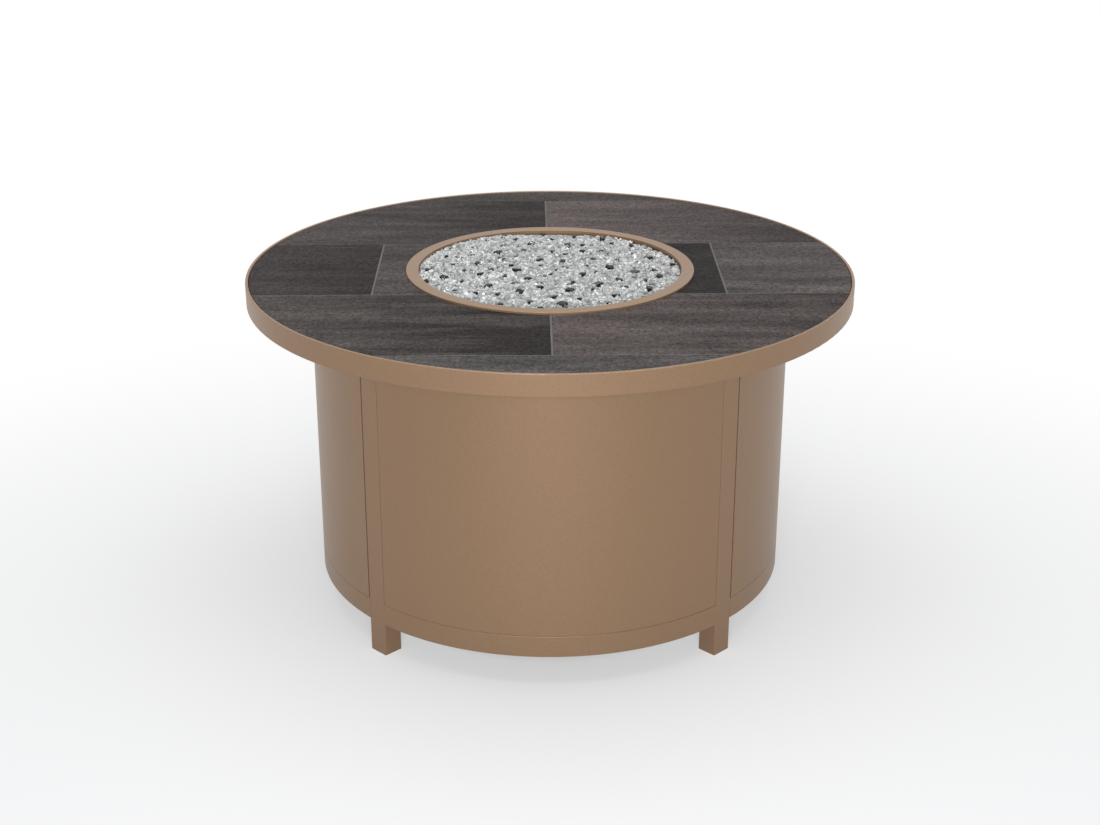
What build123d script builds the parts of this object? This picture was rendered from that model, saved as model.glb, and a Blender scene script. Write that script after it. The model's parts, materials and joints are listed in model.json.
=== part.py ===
from build123d import *
import os
from math import ceil, cos, hypot, pi, radians, sin, sqrt

# Round gas fire pit table: a tiled top with a sunken burner, on a closed drum base with a door.
# Millimetres, +Z up, origin on the floor under the middle. The front is -Y, the door is at +Y.

# Table top
table_radius = 533.4
rim_height = 38.0
rim_wall = 5.0
rim_edge_radius = 1.2
rim_lip = 1.05
tile_length = 600.0
tile_width = 298.0
tile_thickness = 9.5
tile_edge_chamfer = 0.6
tile_angle = 0.83
tile_shift_along = -2.7
tile_shift_across = 5.9
tile_rim_gap = 1.0
tile_least_reach = 8.0
joint_width = 3.3
joint_recess = 0.7
board_thickness = 12.5
board_rim_gap = 0.9
bar_width = 25.0
bar_height = 15.0
bar_wall = 2.0
bar_opening_gap = 8.0
weld_gap = 0.2

# Drum base
base_radius = 421.7
post_height = 562.0
post_depth = 36.0
post_width = 38.0
post_wall = 3.0
post_corner_radius = 1.5
plug_height = 20.0
plug_gap = 0.2
plug_edge_radius = 1.0
rail_bottom = 59.5
rail_height = 38.5
rail_depth = 25.0
rail_wall = 3.0
rail_edge_radius = 1.0
mounting_ring_width = 46.7
mounting_ring_thickness = 5.0
sheet = 2.0
flange_depth = 15.0
front_seam_gap = 0.6
side_seam_gap = 2.6
door_seam_gap = 2.0
panel_edge_radius = 1.0

# Screws
screw_radius = 2.5
screw_head_radius = 4.8
screw_head_height = 2.8
screw_end = 4.0
screw_gap = 0.25
panel_screw_half_angle = 23.0
knob_screw_radius = 2.0

# Door
door_rise = 1.0
pivot_depth = 6.0
pivot_edge_distance = 9.0
pivot_pin_radius = 2.5
pivot_pin_reach = 11.0
pivot_running_gap = 0.05
bush_wall = 1.2
bush_height = 8.0
bush_stand_off = 0.5
pull_angle = 128.0
pull_height = 330.0
pull_foot_radius = 6.0
pull_head_radius = 12.0
pull_length = 22.0
pull_edge_radius = 2.0
catch_angle = 124.0
catch_width = 28.0
catch_depth = 9.0
catch_height = 20.0
catch_gap = 0.6
catch_edge_radius = 1.0
strike_thickness = 2.0

# Burner
trim_wall = 2.0
trim_overhang = 3.7
trim_flange_gap = 2.7
trim_seat_gap = 0.3
trim_lip_depth = 5.5
trim_edge_radius = 0.8
pan_radius = 237.5
pan_wall = 1.5
pan_depth = 61.2
pan_flange_width = 12.0
pan_corner_radius = 8.0
pan_opening_gap = 2.0
drain_count = 8
drain_radius = 4.0
drain_circle_radius = 195.0
burner_radius = 150.0
burner_tube_radius = 6.35
burner_feed_radius = 5.0
burner_rise = 14.0
burner_port_count = 24
burner_port_radius = 1.2
burner_port_depth = 3.0
hub_radius = 14.0
nipple_radius = 8.5
nipple_engagement = 12.0
nipple_length = 43.0
lock_nut_radius = 15.5
lock_nut_height = 6.0
mixer_radius = 13.0
mixer_length = 60.0
mixer_hex_radius = 15.0
mixer_hex_height = 12.0
mixer_air_hole_radius = 4.5
mixer_air_hole_drop = 26.0
glass_edge_drop = 11.5
glass_crown = 5.0
glass_gap = 0.5
glass_chip_length = 20.0
glass_chip_width = 16.0
glass_chip_height = 9.0
glass_chip_sink = 2.5
glass_chip_spacing = 27.0
glass_chip_tilt = 14
golden_angle = 137.5
electrode_radius = 3.5
electrode_stand_out = 14.0
electrode_wire_radius = 1.2
electrode_wire_length = 12.0
spark_gap = 3.5
electrode_gap = 0.3

# Controls behind the door, gas line and tank tray
control_angle = 127.0
control_drop = 29.0
bracket_setback = 69.7
bracket_width = 100.0
bracket_tail = 37.0
bracket_sheet = 2.0
bracket_flange_width = 60.0
bracket_door_gap = 6.7
bracket_screw_spacing = 36.0
bracket_corner_radius = 6.0
valve_across = 22.0
valve_size = 26.0
valve_depth = 34.0
valve_edge_radius = 2.0
valve_neck_radius = 9.0
valve_neck_gap = 0.3
valve_port_radius = 7.94
valve_inlet_length = 14.0
valve_outlet_length = 10.0
stem_radius = 3.0
stem_depth = 20.0
stem_running_gap = 0.05
knob_radius = 19.0
knob_skirt_height = 6.0
knob_grip_width = 9.0
knob_grip_height = 13.0
knob_edge_radius = 1.5
knob_gap = 1.5
igniter_across = -26.0
igniter_radius = 11.0
igniter_length = 30.0
igniter_neck_radius = 8.0
igniter_neck_reach = 4.0
igniter_nut_height = 3.0
button_radius = 6.0
button_length = 17.0
button_reach = 5.0
button_travel = 4.0
button_running_gap = 0.05
button_edge_radius = 1.5
lead_radius = 1.6
lead_bend_radius = 4.5
lead_end_length = 15.0
flare_nut_radius = 11.0
flare_nut_height = 14.0
gas_tube_radius = 4.76
gas_tube_bend_radius = 30.0
gas_tube_drop = 45.0
tray_offset = 190.0
tray_radius = 114.5
tray_sheet = 2.5
tray_height = 22.0
tray_bar_spacing = 80.0
tray_bar_width = 30.0
tray_bar_thickness = 4.5

# Heights and radii that follow from those sizes
rail_top = rail_bottom + rail_height
ring_top = post_height + mounting_ring_thickness
board_bottom = ring_top + bar_height
tile_bottom = board_bottom + board_thickness
tile_top = tile_bottom + tile_thickness
rim_top = tile_top + rim_lip
rim_bottom = rim_top - rim_height
trim_top = tile_top + pan_wall + trim_seat_gap + trim_wall
rim_inner_radius = table_radius - rim_wall
rail_inner_radius = base_radius - rail_depth
opening_radius = pan_radius + pan_opening_gap
pan_inner_radius = pan_radius - pan_wall
trim_inner_radius = pan_inner_radius - trim_overhang
trim_outer_radius = pan_radius + pan_flange_width + trim_flange_gap + trim_wall
tile_radius = rim_inner_radius - tile_rim_gap
pan_bottom = tile_top - pan_depth
pan_floor = pan_bottom + pan_wall
burner_height = pan_floor + burner_rise
bar_offset = opening_radius + bar_opening_gap + bar_width / 2
ring_middle_radius = base_radius - mounting_ring_width / 2
flange_middle_radius = base_radius - (sheet + flange_depth) / 2
post_centre_radius = base_radius - post_depth / 2
door_edge_offset = post_width / 2 + door_seam_gap
screw_hole_radius = screw_radius + screw_gap
control_height = post_height - control_drop
bracket_radius = base_radius - bracket_setback
bracket_edge_radius = base_radius - flange_depth - bracket_door_gap

# Sides and posts, by their angle about the middle
quarter_angle = 90
corner_angle = 45
side_names = ("front", "right", "back", "left")
side_angles = {name: place * quarter_angle for place, name in enumerate(side_names)}
post_names = ("back_right", "back_left", "front_left", "front_right")
post_angles = {name: corner_angle + place * quarter_angle for place, name in enumerate(post_names)}

os.makedirs("parts", exist_ok=True)


def level_plane(angle, height):
    """Level plane at a height, turned about the middle."""
    return Plane((0, 0, height), x_dir=(cos(radians(angle)), sin(radians(angle)), 0), z_dir=(0, 0, 1))


def facing_plane(angle, radius, height, across=0):
    """Upright plane that faces outwards, with its X level and its Y up."""
    outwards = Vector(cos(radians(angle)), sin(radians(angle)), 0)
    sideways = Vector(-sin(radians(angle)), cos(radians(angle)), 0)
    origin = outwards * radius + sideways * across + Vector(0, 0, height)
    return Plane(origin, x_dir=sideways, z_dir=outwards)


def ring_sector(plane, outer_radius, inner_radius, edge_offset):
    """Ring sector about the plane's -Y, with ends parallel to the sides of the posts."""
    half_angle = radians(corner_angle)
    apex = -edge_offset / sin(half_angle)
    reach = 2 * outer_radius
    left = (-reach * sin(half_angle), apex - reach * cos(half_angle))
    right = (reach * sin(half_angle), apex - reach * cos(half_angle))
    with BuildSketch(plane) as sector:
        with BuildLine():
            Polyline((0, apex), left, right, close=True)
        make_face()
        Circle(outer_radius, mode=Mode.INTERSECT)
        Circle(inner_radius, mode=Mode.SUBTRACT)
    return sector.sketch


def polar_points(radius, angles):
    """Points on a circle at angles from +X."""
    return [(radius * cos(radians(angle)), radius * sin(radians(angle))) for angle in angles]


# Where screws and pins go
panel_screw_angles = [
    angle - 90 + spread
    for name, angle in side_angles.items()
    if name != "back"
    for spread in (-panel_screw_half_angle, panel_screw_half_angle)
]
panel_screw_points = polar_points(flange_middle_radius, panel_screw_angles)
bar_screw_reach = sqrt(ring_middle_radius**2 - bar_offset**2)
bar_screw_points = [
    (side * bar_screw_reach, end * bar_offset) for side in (-1, 1) for end in (-1, 1)
]
bracket_screw_radius = (base_radius - mounting_ring_width + bracket_edge_radius) / 2
bracket_screw_points = [
    (bracket_screw_radius, -bracket_screw_spacing / 2),
    (bracket_screw_radius, bracket_screw_spacing / 2),
]
hinge_angle = post_angles["back_right"]
pivot_across = door_edge_offset + pivot_edge_distance
pivot_along = sqrt((base_radius - pivot_depth) ** 2 - pivot_across**2)
pivot_point = (pivot_along, pivot_across)


# Posts: four square tubes on end, each with one flat face outwards
for name, angle in post_angles.items():
    with BuildPart() as post:
        with BuildSketch(level_plane(angle, 0)):
            with Locations((post_centre_radius, 0)):
                RectangleRounded(post_depth, post_width, post_corner_radius)
                Rectangle(post_depth - 2 * post_wall, post_width - 2 * post_wall, mode=Mode.SUBTRACT)
        extrude(amount=post_height)
    post.part.label = f"post_{name}"
    export_step(post.part, f"parts/post_{name}.step")

# End plugs: flush in the feet of the posts
plug_depth = post_depth - 2 * post_wall - 2 * plug_gap
plug_width = post_width - 2 * post_wall - 2 * plug_gap
with BuildPart() as plugs:
    for angle in post_angles.values():
        with BuildSketch(level_plane(angle, 0)):
            with Locations((post_centre_radius, 0)):
                Rectangle(plug_depth, plug_width)
        extrude(amount=plug_height)
    fillet(plugs.edges().filter_by(Axis.Z), plug_edge_radius)
plugs.part.label = "post_end_plugs"
export_step(plugs.part, "parts/post_end_plugs.step")

# Bottom rails: rolled tubes welded between the posts
for name, angle in side_angles.items():
    plane = level_plane(angle, rail_bottom)
    outline = ring_sector(plane, base_radius, rail_inner_radius, post_width / 2)
    inner_outer = base_radius - rail_wall
    hollow = ring_sector(plane.offset(rail_wall), inner_outer, rail_inner_radius + rail_wall, 0)
    with BuildPart() as rail:
        extrude(outline, amount=rail_height)
        fillet(rail.edges().filter_by(GeomType.CIRCLE).sort_by(SortBy.RADIUS)[-2:], rail_edge_radius)
        extrude(hollow, amount=rail_height - 2 * rail_wall, mode=Mode.SUBTRACT)
        if name == "back":
            with BuildSketch(level_plane(hinge_angle, rail_top)):
                with Locations(pivot_point):
                    Circle(pivot_pin_radius)
        else:
            with BuildSketch(plane.offset(rail_height)):
                with Locations(*polar_points(flange_middle_radius, panel_screw_angles[:2])):
                    Circle(screw_hole_radius)
        extrude(amount=-rail_wall, mode=Mode.SUBTRACT)
    rail.part.label = f"bottom_rail_{name}"
    export_step(rail.part, f"parts/bottom_rail_{name}.step")

# Mounting ring: flat plate on the posts that carries the table top
with BuildPart() as mounting_ring:
    with BuildSketch(Plane.XY.offset(post_height)):
        Circle(base_radius)
        Circle(base_radius - mounting_ring_width, mode=Mode.SUBTRACT)
        with Locations(*panel_screw_points, *bar_screw_points):
            Circle(screw_hole_radius, mode=Mode.SUBTRACT)
    extrude(amount=mounting_ring_thickness)
    with BuildSketch(level_plane(control_angle, post_height)):
        with Locations(*bracket_screw_points):
            Circle(screw_hole_radius)
    with BuildSketch(level_plane(hinge_angle, post_height)):
        with Locations(pivot_point):
            Circle(pivot_pin_radius)
    extrude(amount=mounting_ring_thickness, mode=Mode.SUBTRACT)
mounting_ring.part.label = "top_mounting_ring"
export_step(mounting_ring.part, "parts/top_mounting_ring.step")

# Panels: curved sheet with a flange turned in on every edge
panel_height = post_height - rail_top
hollow_inner = base_radius - 2 * flange_depth
for name, gap in (("front", front_seam_gap), ("left", side_seam_gap), ("right", side_seam_gap)):
    plane = level_plane(side_angles[name], rail_top)
    edge_offset = post_width / 2 + gap
    outline = ring_sector(plane, base_radius, base_radius - flange_depth, edge_offset)
    hollow = ring_sector(plane.offset(sheet), base_radius - sheet, hollow_inner, edge_offset + sheet)
    with BuildPart() as panel:
        extrude(outline, amount=panel_height)
        fillet(panel.faces().sort_by(SortBy.AREA)[-1].edges(), panel_edge_radius)
        extrude(hollow, amount=panel_height - 2 * sheet, mode=Mode.SUBTRACT)
        with BuildSketch(plane):
            with Locations(*polar_points(flange_middle_radius, panel_screw_angles[:2])):
                Circle(screw_hole_radius)
        extrude(amount=panel_height, mode=Mode.SUBTRACT)
    panel.part.label = f"panel_{name}"
    export_step(panel.part, f"parts/panel_{name}.step")

# Panel screws: down into the rails and up into the mounting ring
with BuildPart() as panel_screws:
    for seat, away, grip in (
        (rail_top + sheet, 1, rail_wall),
        (post_height - sheet, -1, mounting_ring_thickness),
    ):
        with BuildSketch(Plane.XY.offset(seat)):
            with Locations(*panel_screw_points):
                Circle(screw_head_radius)
        extrude(amount=away * screw_head_height)
        with BuildSketch(Plane.XY.offset(seat)):
            with Locations(*panel_screw_points):
                Circle(screw_radius)
        extrude(amount=-away * (sheet + grip))
panel_screws.part.label = "panel_screws"
export_step(panel_screws.part, "parts/panel_screws.step")

# Access door: the back panel, a little lower, on two pivots near one edge
door_bottom = rail_top + door_rise
door_height = post_height - rail_top - 2 * door_rise
bush_radius = pivot_pin_radius + pivot_running_gap + bush_wall
plane = level_plane(side_angles["back"], door_bottom)
outline = ring_sector(plane, base_radius, base_radius - flange_depth, door_edge_offset)
hollow = ring_sector(plane.offset(sheet), base_radius - sheet, hollow_inner, door_edge_offset + sheet)
with BuildPart() as door:
    extrude(outline, amount=door_height)
    fillet(door.faces().sort_by(SortBy.AREA)[-1].edges(), panel_edge_radius)
    extrude(hollow, amount=door_height - 2 * sheet, mode=Mode.SUBTRACT)
    with BuildSketch(level_plane(hinge_angle, door_bottom)):
        with Locations(pivot_point):
            Circle(bush_radius)
    extrude(amount=door_height, mode=Mode.SUBTRACT)
    with BuildSketch(facing_plane(pull_angle, base_radius, pull_height)):
        Circle(knob_screw_radius)
    extrude(amount=-flange_depth, mode=Mode.SUBTRACT)
door.part.label = "access_door"
export_step(door.part, "parts/access_door.step")

# Pivot pins: one up from the back rail, one down from the mounting ring
with BuildPart() as pivot_pins:
    for seat, away, grip in ((rail_top, 1, rail_wall), (post_height, -1, mounting_ring_thickness)):
        with BuildSketch(level_plane(hinge_angle, seat - away * grip)):
            with Locations(pivot_point):
                Circle(pivot_pin_radius)
        extrude(amount=away * (grip + pivot_pin_reach))
pivot_pins.part.label = "door_pivot_pins"
export_step(pivot_pins.part, "parts/door_pivot_pins.step")

# Pivot bushes: sleeves in the door's top and bottom flanges
with BuildPart() as bushes:
    for seat, away in ((door_bottom, 1), (door_bottom + door_height, -1)):
        with BuildSketch(level_plane(hinge_angle, seat - away * bush_stand_off)):
            with Locations(pivot_point):
                Circle(bush_radius)
                Circle(pivot_pin_radius + pivot_running_gap, mode=Mode.SUBTRACT)
        extrude(amount=away * bush_height)
bushes.part.label = "door_pivot_bushes"
export_step(bushes.part, "parts/door_pivot_bushes.step")

# Door pull: a small turned knob near the free edge, and its screw
pull_plane = facing_plane(pull_angle, base_radius, pull_height)
pull_waist_radius = pull_foot_radius - pull_edge_radius
with BuildPart() as pull:
    with BuildSketch(Plane.XZ):
        with BuildLine():
            foot = Line((knob_screw_radius, 0), (pull_foot_radius, 0))
            waist = Line(foot @ 1, (pull_waist_radius, pull_length / 2))
            flare = Line(waist @ 1, (pull_head_radius, pull_length - 2 * pull_edge_radius))
            edge = Line(flare @ 1, (pull_head_radius, pull_length - pull_edge_radius))
            dome = TangentArc((0, pull_length), edge @ 1, tangent=(1, 0))
            middle = Line(dome @ 0, (0, pull_length / 2))
            seat = Line(middle @ 1, (knob_screw_radius, pull_length / 2))
            Line(seat @ 1, foot @ 0)
        make_face()
    revolve(axis=Axis.Z)
pull_part = pull_plane.location * pull.part
pull_part.label = "door_pull"
export_step(pull_part, "parts/door_pull.step")

with BuildPart() as pull_screw:
    with BuildSketch(pull_plane.offset(-sheet - screw_gap)):
        Circle(screw_head_radius)
    extrude(amount=-screw_head_height)
    with BuildSketch(pull_plane.offset(-sheet - screw_gap)):
        Circle(knob_screw_radius)
    extrude(amount=screw_gap + sheet + pull_length / 2)
pull_screw.part.label = "door_pull_screw"
export_step(pull_screw.part, "parts/door_pull_screw.step")

# Magnet catch on the back rail, and the strike plate that it holds on the door
strike_radius = base_radius - flange_depth + strike_thickness
catch_plane = facing_plane(catch_angle, strike_radius - strike_thickness - catch_gap, rail_top)
with BuildPart() as catch:
    with BuildSketch(catch_plane):
        with Locations((0, catch_height / 2)):
            Rectangle(catch_width, catch_height)
    extrude(amount=-catch_depth)
    fillet(catch.faces().sort_by(Axis.Z)[-1].edges(), catch_edge_radius)
catch.part.label = "magnet_catch"
export_step(catch.part, "parts/magnet_catch.step")

strike_bottom = door_bottom + sheet
with BuildPart() as strike:
    with BuildSketch(facing_plane(catch_angle, strike_radius, strike_bottom)):
        with Locations((0, catch_height / 2)):
            Rectangle(catch_width, catch_height)
    extrude(amount=-strike_thickness)
strike.part.label = "catch_strike_plate"
export_step(strike.part, "parts/catch_strike_plate.step")

# Rim: rolled flat band round the table top
with BuildPart() as rim:
    with BuildSketch(Plane.XY.offset(rim_bottom)):
        Circle(table_radius)
        Circle(rim_inner_radius, mode=Mode.SUBTRACT)
    extrude(amount=rim_height)
    fillet(rim.edges().filter_by(GeomType.CIRCLE), rim_edge_radius)
rim.part.label = "rim_band"
export_step(rim.part, "parts/rim_band.step")

# Support bars: tubes across the rim, a long pair and shorter ones between and beside them
bar_middle = ring_top + bar_height / 2
frame_radius = rim_inner_radius - weld_gap
with BuildPart() as long_bars:
    with BuildSketch(Plane.YZ):
        with Locations((-bar_offset, bar_middle), (bar_offset, bar_middle)):
            Rectangle(bar_width, bar_height)
            Rectangle(bar_width - 2 * bar_wall, bar_height - 2 * bar_wall, mode=Mode.SUBTRACT)
    extrude(amount=table_radius, both=True)
    with BuildSketch(Plane.XY.offset(ring_top)):
        Circle(frame_radius)
    extrude(amount=bar_height, mode=Mode.INTERSECT)
    with BuildSketch(Plane.XY.offset(ring_top)):
        with Locations(*bar_screw_points):
            Circle(screw_radius)
    extrude(amount=bar_wall, mode=Mode.SUBTRACT)
long_bars.part.label = "top_long_bars"
export_step(long_bars.part, "parts/top_long_bars.step")

with BuildPart() as cross_bars:
    with BuildSketch(Plane.XZ):
        with Locations((-bar_offset, bar_middle), (bar_offset, bar_middle)):
            Rectangle(bar_width, bar_height)
            Rectangle(bar_width - 2 * bar_wall, bar_height - 2 * bar_wall, mode=Mode.SUBTRACT)
    extrude(amount=table_radius, both=True)
    with BuildSketch(Plane.XY.offset(ring_top)):
        Circle(frame_radius)
        with Locations((0, -bar_offset), (0, bar_offset)):
            Rectangle(2 * table_radius, bar_width, mode=Mode.SUBTRACT)
    extrude(amount=bar_height, mode=Mode.INTERSECT)
cross_bars.part.label = "top_cross_bars"
export_step(cross_bars.part, "parts/top_cross_bars.step")

# Top screws: up through the mounting ring into the long bars
with BuildPart() as top_screws:
    with BuildSketch(Plane.XY.offset(post_height)):
        with Locations(*bar_screw_points):
            Circle(screw_head_radius)
    extrude(amount=-screw_head_height)
    with BuildSketch(Plane.XY.offset(post_height)):
        with Locations(*bar_screw_points):
            Circle(screw_radius)
    extrude(amount=mounting_ring_thickness + bar_wall + screw_end)
top_screws.part.label = "top_screws"
export_step(top_screws.part, "parts/top_screws.step")

# Backer board: cement board disc under the tiles
with BuildPart() as board:
    with BuildSketch(Plane.XY.offset(board_bottom)):
        Circle(rim_inner_radius - board_rim_gap)
        Circle(opening_radius, mode=Mode.SUBTRACT)
    extrude(amount=board_thickness)
board.part.label = "backer_board"
export_step(board.part, "parts/backer_board.step")

# Tiles: running bond, turned a little, cut to the rim and to the burner opening.
# A place is counted in tiles along a row and in rows, from the tile at the burner.
tile_names = {
    (0, 2): "tile_back",
    (-0.5, 1): "tile_back_left",
    (0.5, 1): "tile_back_right",
    (-1, 0): "tile_left",
    (0, 0): "tile_burner",
    (1, 0): "tile_right",
    (-0.5, -1): "tile_front_left",
    (0.5, -1): "tile_front_right",
    (0, -2): "tile_front",
}
tile_pitch = tile_length + joint_width
row_pitch = tile_width + joint_width
tile_reach = ceil((tile_radius + tile_pitch) / tile_pitch)
row_reach = ceil((tile_radius + row_pitch) / row_pitch)
tile_centres = {}
for row in range(-row_reach, row_reach + 1):
    for column in range(-tile_reach, tile_reach + 1):
        along = column + row % 2 / 2
        centre = (tile_shift_along + along * tile_pitch, tile_shift_across + row * row_pitch)
        sides = (abs(centre[0]) - tile_length / 2, abs(centre[1]) - tile_width / 2)
        near = hypot(max(0, sides[0]), max(0, sides[1]))
        far = hypot(sides[0] + tile_length, sides[1] + tile_width)
        if near < tile_radius - tile_least_reach and far > opening_radius + tile_least_reach:
            tile_name = tile_names.get((along, row), f"tile_extra_{len(tile_centres)}")
            tile_centres[tile_name] = centre
tile_plane = level_plane(tile_angle, tile_bottom)
for name, centre in tile_centres.items():
    with BuildSketch(tile_plane) as tile_outline:
        with Locations(centre):
            Rectangle(tile_length, tile_width)
        Circle(tile_radius, mode=Mode.INTERSECT)
        Circle(opening_radius, mode=Mode.SUBTRACT)
    pieces = tile_outline.sketch.faces().sort_by(Axis.X)
    piece_names = [name]
    if len(pieces) > 1:
        piece_names = [f"{name}_left", f"{name}_right"]
    for piece_name, piece in zip(piece_names, pieces):
        with BuildPart() as tile:
            extrude(piece, amount=tile_thickness)
            chamfer(tile.faces().sort_by(Axis.Z)[-1].edges(), tile_edge_chamfer)
        tile.part.label = piece_name
        export_step(tile.part, f"parts/{piece_name}.step")

# Grout: fills the joints to just under the tile faces
with BuildPart() as grout:
    with BuildSketch(tile_plane):
        Circle(tile_radius)
        Circle(opening_radius, mode=Mode.SUBTRACT)
        with Locations(*tile_centres.values()):
            Rectangle(tile_length, tile_width, mode=Mode.SUBTRACT)
    extrude(amount=tile_thickness - joint_recess)
grout.part.label = "tile_grout"
export_step(grout.part, "parts/tile_grout.step")

# Trim ring: a rolled cap over the pan's flange, with a lip turned down inside
with BuildPart() as trim:
    with BuildSketch(Plane.XZ):
        with BuildLine():
            Polyline(
                (trim_outer_radius, tile_top),
                (trim_outer_radius, trim_top),
                (trim_inner_radius, trim_top),
                (trim_inner_radius, trim_top - trim_lip_depth),
                (trim_inner_radius + trim_wall, trim_top - trim_lip_depth),
                (trim_inner_radius + trim_wall, trim_top - trim_wall),
                (trim_outer_radius - trim_wall, trim_top - trim_wall),
                (trim_outer_radius - trim_wall, tile_top),
                close=True,
            )
        make_face()
    revolve(axis=Axis.Z)
    fillet(trim.faces().sort_by(Axis.Z)[-1].edges(), trim_edge_radius)
trim.part.label = "trim_ring"
export_step(trim.part, "parts/trim_ring.step")

# Burner pan: a drop-in steel pan hung by its flange on the tiles
electrode_plane = facing_plane(control_angle, 0, burner_height, igniter_across)
with BuildPart() as pan:
    with BuildSketch(Plane.XZ):
        with BuildLine():
            outside = FilletPolyline(
                (0, pan_bottom),
                (pan_radius, pan_bottom),
                (pan_radius, tile_top),
                radius=pan_corner_radius,
            )
            flange = Polyline(
                outside @ 1,
                (pan_radius + pan_flange_width, tile_top),
                (pan_radius + pan_flange_width, tile_top + pan_wall),
                (pan_inner_radius, tile_top + pan_wall),
            )
            inside = FilletPolyline(
                flange @ 1,
                (pan_inner_radius, pan_floor),
                (0, pan_floor),
                radius=pan_corner_radius - pan_wall,
            )
            Line(inside @ 1, outside @ 0)
        make_face()
    revolve(axis=Axis.Z)
    with BuildSketch(Plane.XY.offset(pan_bottom)):
        Circle(nipple_radius)
        with PolarLocations(drain_circle_radius, drain_count):
            Circle(drain_radius)
    extrude(amount=pan_wall, mode=Mode.SUBTRACT)
    with BuildSketch(electrode_plane):
        Circle(electrode_radius + electrode_gap)
    extrude(amount=pan_radius, mode=Mode.SUBTRACT)
pan.part.label = "burner_pan"
export_step(pan.part, "parts/burner_pan.step")

# Ring burner: a tube bent to a ring, fed by a cross tube from a hub on the pan's floor
with BuildPart() as burner:
    with BuildSketch(Plane.XZ):
        with Locations((burner_radius, burner_height)):
            Circle(burner_tube_radius)
    revolve(axis=Axis.Z)
    with BuildSketch(Plane.XZ):
        with Locations((0, burner_height)):
            Circle(burner_feed_radius)
    extrude(amount=burner_radius, both=True)
    with BuildSketch(Plane.XY.offset(pan_floor)):
        Circle(hub_radius)
    extrude(amount=burner_rise + burner_tube_radius)
    with BuildSketch(Plane.XY.offset(pan_floor)):
        Circle(nipple_radius)
    extrude(amount=nipple_engagement, mode=Mode.SUBTRACT)
    with BuildSketch(Plane.XY.offset(burner_height + burner_tube_radius)):
        with PolarLocations(burner_radius, burner_port_count, start_angle=180 / burner_port_count):
            Circle(burner_port_radius)
    extrude(amount=-burner_port_depth, mode=Mode.SUBTRACT)
burner.part.label = "ring_burner"
export_step(burner.part, "parts/ring_burner.step")

# Nipple: the short pipe from the burner's hub down through the pan
nipple_top = pan_floor + nipple_engagement
with BuildPart() as nipple:
    with BuildSketch(Plane.XY.offset(nipple_top)):
        Circle(nipple_radius)
    extrude(amount=-nipple_length)
nipple.part.label = "burner_nipple"
export_step(nipple.part, "parts/burner_nipple.step")

# Lock nut: pulls the hub down on the pan
with BuildPart() as lock_nut:
    with BuildSketch(Plane.XY.offset(pan_bottom)):
        RegularPolygon(lock_nut_radius, 6)
        Circle(nipple_radius, mode=Mode.SUBTRACT)
    extrude(amount=-lock_nut_height)
lock_nut.part.label = "burner_lock_nut"
export_step(lock_nut.part, "parts/burner_lock_nut.step")

# Air mixer: brass body on the nipple, with air holes and a hexagon for the wrench
mixer_top = nipple_top - nipple_length + nipple_engagement
mixer_bottom = mixer_top - mixer_length
with BuildPart() as mixer:
    with BuildSketch(Plane.XY.offset(mixer_top)):
        Circle(mixer_radius)
    extrude(amount=-mixer_length)
    with BuildSketch(Plane.XY.offset(mixer_bottom)):
        RegularPolygon(mixer_hex_radius, 6)
    extrude(amount=mixer_hex_height)
    with BuildSketch(Plane.XY.offset(mixer_top)):
        Circle(nipple_radius)
    extrude(amount=-nipple_engagement, mode=Mode.SUBTRACT)
    with BuildSketch(Plane.XZ):
        with Locations((0, mixer_top - mixer_air_hole_drop)):
            Circle(mixer_air_hole_radius)
    with BuildSketch(Plane.YZ):
        with Locations((0, mixer_top - mixer_air_hole_drop)):
            Circle(mixer_air_hole_radius)
    extrude(amount=mixer_radius, both=True, mode=Mode.SUBTRACT)
mixer.part.label = "air_mixer"
export_step(mixer.part, "parts/air_mixer.step")

# Fire glass: the heaped bed that fills the pan over the burner
glass_radius = pan_inner_radius - glass_gap
glass_edge_height = tile_top - glass_edge_drop
burner_room = burner_tube_radius + glass_gap
electrode_room = 2 * electrode_radius + 2 * glass_gap
# The larger chips lie half sunk in the bed, in a spiral that keeps them apart.
chip_reach = glass_radius - glass_chip_length
chip_places = []
for chip in range(int(pi * (chip_reach / glass_chip_spacing) ** 2)):
    distance = glass_chip_spacing * sqrt(chip / pi)
    turn = chip * golden_angle
    height = glass_edge_height + glass_crown * (1 - (distance / glass_radius) ** 2) - glass_chip_sink
    point = (distance * cos(radians(turn)), distance * sin(radians(turn)), height)
    chip_places.append(Location(point, (glass_chip_tilt * sin(chip), glass_chip_tilt * cos(chip), turn)))
with BuildPart() as glass:
    with BuildSketch(Plane.XZ):
        with BuildLine():
            floor = FilletPolyline(
                (0, pan_floor),
                (glass_radius, pan_floor),
                (glass_radius, glass_edge_height),
                radius=pan_corner_radius,
            )
            crown = TangentArc(
                (0, glass_edge_height + glass_crown),
                floor @ 1,
                tangent=(1, 0),
            )
            Line(crown @ 0, floor @ 0)
        make_face()
    revolve(axis=Axis.Z)
    with BuildSketch(Plane.XY.offset(pan_floor)):
        Circle(burner_radius + burner_room)
        Circle(burner_radius - burner_room, mode=Mode.SUBTRACT)
        Rectangle(2 * burner_room, 2 * burner_radius)
        Circle(hub_radius + glass_gap)
    extrude(amount=burner_rise + burner_room, mode=Mode.SUBTRACT)
    with BuildSketch(electrode_plane.offset(burner_radius)):
        with Locations((0, -burner_rise / 2)):
            Rectangle(electrode_room, burner_rise + electrode_room)
    extrude(amount=pan_radius - burner_radius, mode=Mode.SUBTRACT)
    with Locations(*chip_places):
        Box(glass_chip_length, glass_chip_width, glass_chip_height)
glass.part.label = "fire_glass"
export_step(glass.part, "parts/fire_glass.step")

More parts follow.
